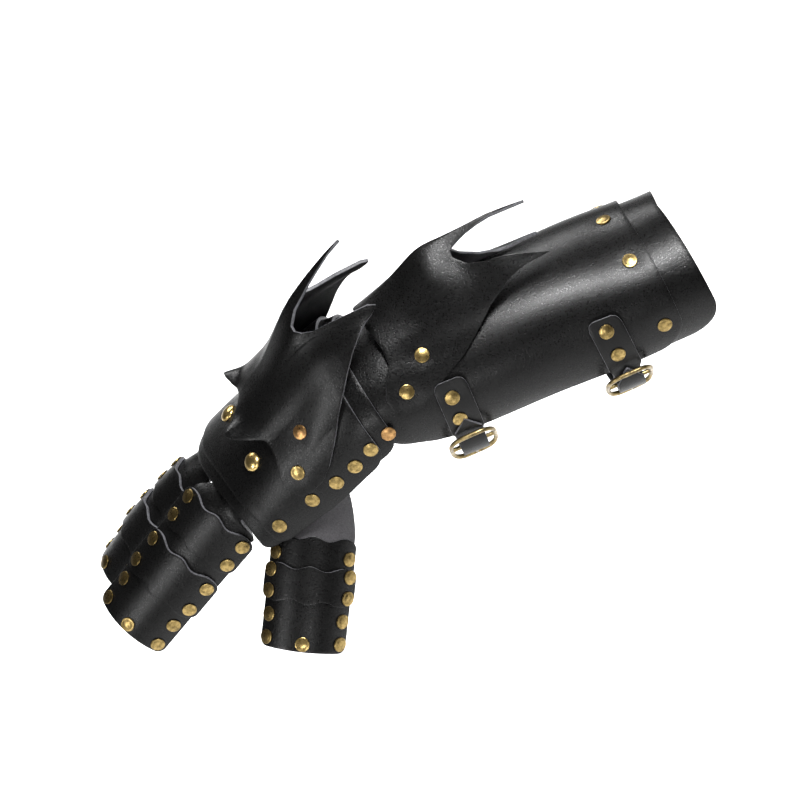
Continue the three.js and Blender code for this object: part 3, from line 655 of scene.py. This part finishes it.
def tab_path():
    """[angle, height] rows: over the cuff, round the buckle's bar and back beneath itself."""
    top = BAR_HEIGHT + LOOP_R
    path = [[a, TAB_HEIGHT] for a in spread(TAB_ENDS[0], TAB_WAIST_FROM, 6)]
    path += [[109, TAB_HEIGHT + 0.5], [113, mix(TAB_HEIGHT, top, 0.5)], [117, mix(TAB_HEIGHT, top, 0.92)]]
    for turn in spread(90, -90, 6):
        a = math.radians(turn)
        path.append([BAR_ANGLE + LOOP_TURN * math.cos(a), BAR_HEIGHT + LOOP_R * math.sin(a)])
    return path + [[a, STRAP_BED] for a in spread(115, TAB_ENDS[1], 7)]


def billet_path(tip):
    """[angle, height] rows: from the far side, under the arm and over the buckle to the tip."""
    over = BAR_HEIGHT + LOOP_R + STRAP_PITCH
    path = [[a, STRAP_BED] for a in spread(-68, -220, 20)]
    path += [[-225, STRAP_BED], [-229, STRAP_BED + 1.1], [-232, mix(STRAP_BED, over, 0.5)]]
    path += [[-235, mix(STRAP_BED, over, 0.88)], [-238, over], [-243, over - 0.1]]
    path += [[-247, mix(over, BILLET_HEIGHT, 0.24)], [-250.5, mix(over, BILLET_HEIGHT, 0.58)]]
    return path + [[a, BILLET_HEIGHT] for a in spread(-253.5, tip, 4)]


def path_place(path, fraction):
    """Smooth place along a path of [angle, height] rows, by share of its rows."""
    rows = [[i, *row] for i, row in enumerate(path)]
    return smooth(rows, fraction * (len(path) - 1))


def ribbon(name, strap, path, half_width, columns):
    """A strap of leather along a path; half_width(u, angle) is half its width there."""
    def place(u, v):
        angle, height = path_place(path, u)
        ahead = path_place(path, min(1, u + PATH_STEP))
        behind = path_place(path, max(0, u - PATH_STEP))
        leaning = strap["slant"] * min(0, angle - SLANT_FROM) if angle > 0 else 0
        at = strap["station"] + leaning + (2 * v - 1) * half_width(u, angle)
        way = arm_point(at, *ahead) - arm_point(at, *behind)
        face = way.cross(arm_frame(at)[1]).normalized() * facing
        return arm_point(at, angle, height) + face * (STRAP_LEATHER / 2)

    def outward(u, _):
        return surface_normal(strap["station"], path_place(path, u)[0])

    # The outer side is the one that the path starts with on top.
    first = arm_point(strap["station"], *path[1]) - arm_point(strap["station"], *path[0])
    side = first.cross(arm_frame(strap["station"])[1])
    facing = 1 if side.dot(surface_normal(strap["station"], path[0][0])) > 0 else -1
    piece = sheet_piece(name, columns, 10, place, STRAP_LEATHER, outward, STRAP_LEATHER_LOOK)
    return finish_piece(piece, [name])


def make_tab(strap):
    def half_width(u, angle):
        end = min(1, u / 0.045)
        rounded = STRAP_WIDTH / 2 * (1 - 0.42 * (1 - math.sqrt(1 - (1 - end) ** 2)))
        return rounded - TAB_WAIST * min(1, max(0, (angle - TAB_WAIST_FROM) / 4))

    return ribbon(f"{strap['name']}_tab", strap, tab_path(), half_width, 120)


def make_billet(strap):
    def half_width(u, angle):
        taper = min(1, 0.04 + abs(angle - strap["tip"]) / 10)
        return (STRAP_WIDTH / 2 - BILLET_WAIST) * taper * min(1, 0.62 + u * 20)

    return ribbon(f"{strap['name']}_billet", strap, billet_path(strap["tip"]), half_width, 260)


# ---- buckles --------------------------------------------------------------------
RING_R = 10
SQUARENESS = 0.5


def buckle_place(station, u, v, lift):
    """u runs along the arm, v round it and lift away from it, measured from the buckle's bar."""
    tangent = arm_frame(station)[1]
    origin = arm_point(station, BAR_ANGLE, BAR_HEIGHT)
    round_way = (arm_point(station, BAR_ANGLE + 1, BAR_HEIGHT)
                 - arm_point(station, BAR_ANGLE - 1, BAR_HEIGHT)).normalized()
    out = (arm_point(station, BAR_ANGLE, BAR_HEIGHT + 1) - origin).normalized()
    tilt = math.radians(BUCKLE_TILT)
    return (origin + tangent * u + round_way * (v * math.cos(tilt) + lift * math.sin(tilt))
            + out * (-v * math.sin(tilt) + lift * math.cos(tilt)))


def oblong(value):
    """Turns a circle's sine or cosine into a rounded oblong's."""
    return math.copysign(abs(value) ** SQUARENESS, value)


def smooth_look(piece, look, angle=SMOOTH_ANGLE):
    piece.data.materials.clear()
    piece.data.materials.append(look)
    smooth_shade(piece, angle)


def make_buckle(strap):
    deselect()
    bpy.ops.mesh.primitive_torus_add(major_radius=RING_R, minor_radius=WIRE_R, major_segments=72,
                                     minor_segments=16)
    ring = bpy.context.object
    for vertex in ring.data.vertices:
        x, y, z = vertex.co
        reach = math.hypot(x, y)
        cos, sin = x / reach, y / reach
        outward = reach - RING_R
        arch = BUCKLE_ARCH * max(0, -sin) ** 2
        u = oblong(cos) * BUCKLE_HALF + cos * outward
        v = oblong(sin) * (BUCKLE_NEAR + arch if sin < 0 else BUCKLE_FAR) + sin * outward
        bow = BUCKLE_BOW * max(0, v / BUCKLE_FAR) ** 2
        vertex.co = buckle_place(strap["station"], u, v, z + bow) * MM
    deselect()
    bpy.ops.mesh.primitive_cylinder_add(vertices=20, radius=WIRE_R, depth=2 * BUCKLE_HALF,
                                        end_fill_type="NGON")
    bar = bpy.context.object
    for vertex in bar.data.vertices:
        x, y, z = vertex.co
        vertex.co = buckle_place(strap["station"], z, x, y) * MM
    deselect()
    bar.select_set(True)
    ring.select_set(True)
    bpy.context.view_layer.objects.active = ring
    bpy.ops.object.join()
    ring.name = f"{strap['name']}_buckle_frame"
    tidy_normals(ring)
    smooth_look(ring, BRONZE)
    return finish_piece(ring, [f"{strap['name']}_buckle"])


def tidy_normals(piece):
    deselect()
    piece.select_set(True)
    bpy.context.view_layer.objects.active = piece
    bpy.ops.object.mode_set(mode="EDIT")
    bpy.ops.mesh.select_all(action="SELECT")
    bpy.ops.mesh.normals_make_consistent(inside=False)
    bpy.ops.object.mode_set(mode="OBJECT")


def make_prong(strap):
    over = WIRE_R + GAP + PRONG_R
    rows = [[over * math.cos(math.radians(a)), over * math.sin(math.radians(a))] for a in spread(200, 20, 6)]
    rows += [[6, 3.4], [10, 3.1], [BUCKLE_FAR + 1, over + 0.2]]
    deselect()
    bpy.ops.mesh.primitive_cylinder_add(vertices=14, radius=1, depth=1, end_fill_type="NGON")
    prong = bpy.context.object
    cut_along_length(prong)
    for vertex in prong.data.vertices:
        x, y, z = vertex.co
        share = z + 0.5
        v, lift = path_place(rows, share)
        v2, lift2 = path_place(rows, min(1, share + 0.01))
        v1, lift1 = path_place(rows, max(0, share - 0.01))
        run, rise = v2 - v1, lift2 - lift1
        size = math.hypot(run, rise)
        radius = PRONG_R * mix(1, PRONG_TAPER, share)
        vertex.co = buckle_place(strap["station"], x * radius, v - rise / size * y * radius,
                                 lift + run / size * y * radius) * MM
    prong.name = f"{strap['name']}_buckle_prong"
    tidy_normals(prong)
    smooth_look(prong, BRONZE)
    return finish_piece(prong, [f"{strap['name']}_prong"])


def cut_along_length(piece):
    """Cuts an upright unit-long bar across at even steps."""
    deselect()
    bpy.context.view_layer.objects.active = piece
    bpy.ops.object.mode_set(mode="EDIT")
    for share in spread(-0.5, 0.5, PRONG_CUTS)[1:-1]:
        bpy.ops.mesh.select_all(action="SELECT")
        bpy.ops.mesh.bisect(plane_co=(0, 0, share), plane_no=(0, 0, 1))
    bpy.ops.object.mode_set(mode="OBJECT")


# ---- rivets -----------------------------------------------------------------------
RIVET_POINTS = 28
HEAD_CLEAR = 0.05
DOME_RISE = 3.0
SEARCH_FROM = 30
SEARCH_REACH = 60
SEAT_LEAN = 0.35


def turned(rings):
    """A turned piece from [radius, height] rings, millimetres, closed top and bottom."""
    deselect()
    radius, height = rings[0]
    bpy.ops.mesh.primitive_circle_add(vertices=RIVET_POINTS, radius=radius * MM, fill_type="NGON",
                                      location=(0, 0, height * MM))
    bpy.ops.object.transform_apply(location=True)
    piece = bpy.context.object
    bpy.ops.object.mode_set(mode="EDIT")
    bpy.ops.mesh.select_all(action="SELECT")
    for new_radius, new_height in rings[1:]:
        share = new_radius / radius
        bpy.ops.mesh.extrude_region_move(TRANSFORM_OT_translate={"value": (0, 0, (new_height - height) * MM)})
        bpy.ops.transform.resize(value=(share, share, 1), center_override=(0, 0, new_height * MM))
        radius, height = new_radius, new_height
    bpy.ops.mesh.select_all(action="SELECT")
    bpy.ops.mesh.normals_make_consistent(inside=False)
    bpy.ops.object.mode_set(mode="OBJECT")
    return piece


def post_rings(depth):
    """Foot and post beneath a head, which starts just clear of the leather."""
    return [[FOOT_R * 0.9, -depth - 1], [FOOT_R, -depth - 0.8], [FOOT_R, -depth - 0.2],
            [FOOT_R * 0.9, -depth], [POST_R, -depth], [POST_R, HEAD_CLEAR]]


def cap_rings(r, depth):
    """Rounded rim, a flat step inside it and a low crown."""
    return [*post_rings(depth), [r * 0.9, HEAD_CLEAR], [r * 0.985, 0.2], [r, 0.5], [r * 0.975, 0.8],
            [r * 0.91, 0.98], [r * 0.84, 0.98], [r * 0.79, 1.0], [r * 0.62, 1.2], [r * 0.4, 1.38],
            [r * 0.2, 1.46], [r * 0.06, 1.48]]


def dome_rings(r, depth):
    """A short rim and a rounded crown."""
    turns = [math.radians(d) for d in range(8, 88, 8)]
    crown = [[r * math.cos(a), 0.5 + DOME_RISE * math.sin(a)] for a in turns]
    return [*post_rings(depth), [r * 0.94, HEAD_CLEAR], [r, 0.25], [r, 0.5], *crown]


RIVET_SHAPES = {}


def rivet_shape(kind, depth):
    key = (kind, round(depth, 1))
    if key not in RIVET_SHAPES:
        rings = dome_rings(DOME_R, depth) if kind == "dome" else cap_rings(RIVET_R, depth)
        RIVET_SHAPES[key] = turned(rings)
    return RIVET_SHAPES[key]


def place_rivet(name, point, normal, depth, kind="cap", look=None, node=None):
    source = rivet_shape(kind, depth)
    piece = bpy.data.objects.new(name, source.data.copy())
    bpy.context.scene.collection.objects.link(piece)
    turn = normal.to_track_quat("Z", "Y").to_matrix().to_4x4()
    piece.data.transform(Matrix.Translation(point * MM) @ turn)
    smooth_look(piece, look or (POLISHED if kind == "dome" else BRASS), RIVET_SMOOTH_ANGLE)
    return finish_piece(piece, [node] if node else ())


PLATES = {}


def seat(names, station, angle):
    """Where the top plate's outer face is under a rivet, and its normal there, millimetres."""
    normal = surface_normal(station, angle)
    start = arm_point(station, angle, 0) + normal * SEARCH_FROM
    best = None
    for name in names:
        hit, facing, _, distance = PLATES[name].ray_cast(start * MM, -normal, SEARCH_REACH * MM)
        if hit and (best is None or distance < best[2]):
            best = (hit / MM, facing, distance)
    if best is None:
        return arm_point(station, angle, 0), normal
    facing = best[1] if best[1].dot(normal) > 0 else -best[1]
    return best[0], facing.lerp(normal, SEAT_LEAN).normalized()


HAND_PAIR = ["hand_plate_outer", "hand_plate_inner"]
CUFF_PAIR = ["bracer_outer", "bracer_inner"]


def arm_rivet(name, station, angle, names, depth, node=None, **more):
    point, normal = seat(names, station, angle)
    return place_rivet(f"{name}_cap", point, normal, depth, node=node, **more)


def make_arm_rivets():
    # How far a rivet's post reaches through two, three and four layers.
    two, three, four = 2 * LAYER + 0.6, 3 * LAYER + 1.2, 4 * LAYER + 1.4
    for i, (s, a) in enumerate(DOMES, 1):
        arm_rivet(f"dome_rivet_{i}", s, a, HAND_PAIR, three, f"dome_rivet_{i}", kind="dome")
    for i, (s, a) in enumerate(HAND_EDGE, 1):
        arm_rivet(f"hand_rivet_{i}", s, a, HAND_PAIR, two, f"hand_rivet_{i}")
        arm_rivet(f"hand_rivet_far_{i}", s, -a, HAND_PAIR, two)
    for side, tag in ((1, "near"), (-1, "far")):
        name = f"wrist_rivet_{tag}"
        arm_rivet(name, WRIST_RIVET[0], WRIST_RIVET[1] * side, ["hand_plate_inner"], three, name,
                  look=COPPERED)
        for i, (s, a) in enumerate(HAND_SPIKE_RIVETS, 1):
            name = f"hand_spike_rivet_{tag}_{i}"
            shift = HAND_SPIKE["far_shift"] if side < 0 else 0
            ridge = 2 * along(HAND_SPIKE["ridge"], s) if side < 0 else 0
            arm_rivet(name, s + shift, a * side + ridge, ["hand_spike_plate"], three + 2, name,
                      look=COPPERED if i == 1 else BRASS)
        for i, (s, a) in enumerate(FOREARM_SPIKE_RIVETS, 1):
            name = f"forearm_spike_rivet_{tag}_{i}"
            arm_rivet(name, s, a * side, ["forearm_spike_plate"], three + 1, name)
    for i, (s, a) in enumerate(BRACER_RIVETS, 1):
        arm_rivet(f"bracer_rivet_{i}", s, a, CUFF_PAIR, two, f"bracer_rivet_{i}")
    for strap in STRAPS:
        for i, (s, a) in enumerate(STRAP_RIVETS[strap["name"]], 1):
            name = f"{strap['name']}_tab_rivet_{i}"
            arm_rivet(name, s, a, [f"{strap['name']}_tab"], four, name)
        name = f"{strap['name']}_billet_rivet"
        arm_rivet(name, strap["station"], BILLET_RIVET, [f"{strap['name']}_billet"], three, name)
    arm_rivet("wrist_tab_rivet_2", *WRIST_TAB_SECOND, ["wrist_tab"], four)


# Lame rivets: [distance along the chain, 1 for a pair at the sides or 0 for one in the middle, layer].
FINGER_RIVETS = [[16, 1, 1], [31, 1, 1], [51.5, 1, 1], [69, 1, 1], [85, 1, 0], [101.5, 1, 0], [102, 0, 0]]
THUMB_RIVETS = [[15, 1, 1], [25.5, 1, 2], [38.5, 1, 2], [53, 1, 1], [67, 1, 1], [68, 0, 1]]
RIVET_ANGLES = {"index": 36, "ring": 45, "thumb": 41}


def make_chain_rivets(name):
    chain = CHAINS[name]
    count = 0
    for distance, sided, raised in (THUMB_RIVETS if name == "thumb" else FINGER_RIVETS):
        for side in ((1, -1) if sided else (0,)):
            count += 1
            angle = side * RIVET_ANGLES[name]
            point = chain_point(chain, distance, angle, raised * LAYER)
            above = chain_point(chain, distance, angle, 10)
            normal = (above - chain_point(chain, distance, angle, 0)).normalized()
            place_rivet(f"{name}_lame_rivet_{count}", point, normal, (raised + 1) * LAYER)


# ---- build ---------------------------------------------------------------------------
def surface_tree(piece):
    points = [vertex.co.copy() for vertex in piece.data.vertices]
    return BVHTree.FromPolygons(points, [tuple(p.vertices) for p in piece.data.polygons])


def build():
    for name, shape in BRACER.items():
        PLATES[name] = make_bracer(name, shape)
    for name, shape in HAND.items():
        PLATES[name] = make_hand_plate(name, shape)
    PLATES["hand_spike_plate"] = make_spike_plate("hand_spike_plate", HAND_SPIKE)
    PLATES["forearm_spike_plate"] = make_spike_plate("forearm_spike_plate", FOREARM_SPIKE)
    for chain_name, chain in CHAINS.items():
        for part, *rest in (THUMB_LAMES if chain_name == "thumb" else FINGER_LAMES):
            make_lame(f"{chain_name}_{part}", chain, *rest)
    for strap in STRAPS:
        PLATES[f"{strap['name']}_tab"] = make_tab(strap)
        PLATES[f"{strap['name']}_billet"] = make_billet(strap)
        make_buckle(strap)
        make_prong(strap)
    for name, piece in PLATES.items():
        PLATES[name] = surface_tree(piece)
    make_arm_rivets()
    for chain_name in CHAINS:
        make_chain_rivets(chain_name)
    for source in RIVET_SHAPES.values():
        bpy.data.objects.remove(source)


build()


# ---- stage, light and camera ------------------------------------------------------------
FLOOR_DROP = 0.3
FLOOR_SIZE = 12
BACKDROP_LIGHT = 0.07
BACKDROP_SEEN = 1.0
CAMERA_ELEVATION = 38
CAMERA_ROLL = 24
CAMERA_REACH = 1.6
CAMERA_RIGHT = 4.8
CAMERA_DOWN = 10.2
CAMERA_LENS = 120
OVERHEAD_SPREAD = 28


def make_stage():
    deselect()
    low = CAD_BOX[0][2]
    bpy.ops.mesh.primitive_plane_add(size=FLOOR_SIZE, location=(0, 0, low - FLOOR_DROP))
    floor = bpy.context.object
    floor.name = "studio_floor"
    material = bpy.data.materials.new("matt white floor paint")
    material.use_nodes = True
    shader = material.node_tree.nodes["Principled BSDF"]
    shader.inputs["Base Color"].default_value = linear("#f4f4f4")
    shader.inputs["Roughness"].default_value = 0.9
    floor.data.materials.append(material)
    world = bpy.data.worlds.new("pale studio")
    bpy.context.scene.world = world
    world.use_nodes = True
    # The backdrop is pale to the eye only; the light it gives stays low.
    background = world.node_tree.nodes["Background"]
    background.inputs["Color"].default_value = (1, 1, 1, 1)
    seen = add_node(world, "ShaderNodeLightPath")
    level = add_node(world, "ShaderNodeMapRange", {
        "Value": (seen, "Is Camera Ray"), "To Min": BACKDROP_LIGHT, "To Max": BACKDROP_SEEN})
    join(world, level, "Result", background, "Strength")


def softbox(name, place, target, size, power):
    data = bpy.data.lights.new(name, "AREA")
    data.shape = "RECTANGLE"
    data.size, data.size_y = size
    data.energy = power
    lamp = bpy.data.objects.new(name, data)
    bpy.context.scene.collection.objects.link(lamp)
    lamp.location = place
    lamp.rotation_euler = (Vector(target) - Vector(place)).to_track_quat("-Z", "Y").to_euler()


def overhead_light(toward, strength):
    """Broad light from high up, which keeps the floor pale all over."""
    data = bpy.data.lights.new("overhead bank", "SUN")
    data.energy = strength
    data.angle = math.radians(OVERHEAD_SPREAD)
    lamp = bpy.data.objects.new("overhead bank", data)
    bpy.context.scene.collection.objects.link(lamp)
    lamp.rotation_euler = Vector(toward).to_track_quat("Z", "Y").to_euler()
    # Flagged off from shiny surfaces, so the leather keeps its deep black.
    lamp.visible_glossy = False


def make_camera():
    elevation, roll = math.radians(CAMERA_ELEVATION), math.radians(CAMERA_ROLL)
    toward = Vector((0, -math.cos(elevation), math.sin(elevation)))
    level_up = Vector((0, math.sin(elevation), math.cos(elevation)))
    right = Vector((1, 0, 0)) * math.cos(roll) - level_up * math.sin(roll)
    up = Vector((1, 0, 0)) * math.sin(roll) + level_up * math.cos(roll)
    data = bpy.data.cameras.new("camera")
    data.lens = CAMERA_LENS
    data.sensor_width = 36
    camera = bpy.data.objects.new("camera", data)
    bpy.context.scene.collection.objects.link(camera)
    place = (right * CAMERA_RIGHT - up * CAMERA_DOWN) * MM + toward * CAMERA_REACH
    turn = Matrix((right, up, toward)).transposed().to_4x4()
    camera.matrix_world = Matrix.Translation(place) @ turn
    bpy.context.scene.camera = camera


make_stage()
softbox("key softbox", (0.4, -0.5, 1.25), (0.02, 0, 0), (0.35, 0.3), 55)
softbox("back softbox", (-0.1, 0.9, 0.8), (0, 0, 0.02), (1.0, 0.3), 20)
softbox("side softbox", (-1.1, -0.7, 0.35), (-0.08, 0, 0), (0.3, 0.6), 11)
softbox("front softbox", (-0.25, -1.15, 0.15), (-0.06, 0, 0), (0.4, 0.15), 6)
overhead_light((0.15, 0.3, 1.0), 2.6)
make_camera()
bpy.context.scene.view_settings.view_transform = "Standard"
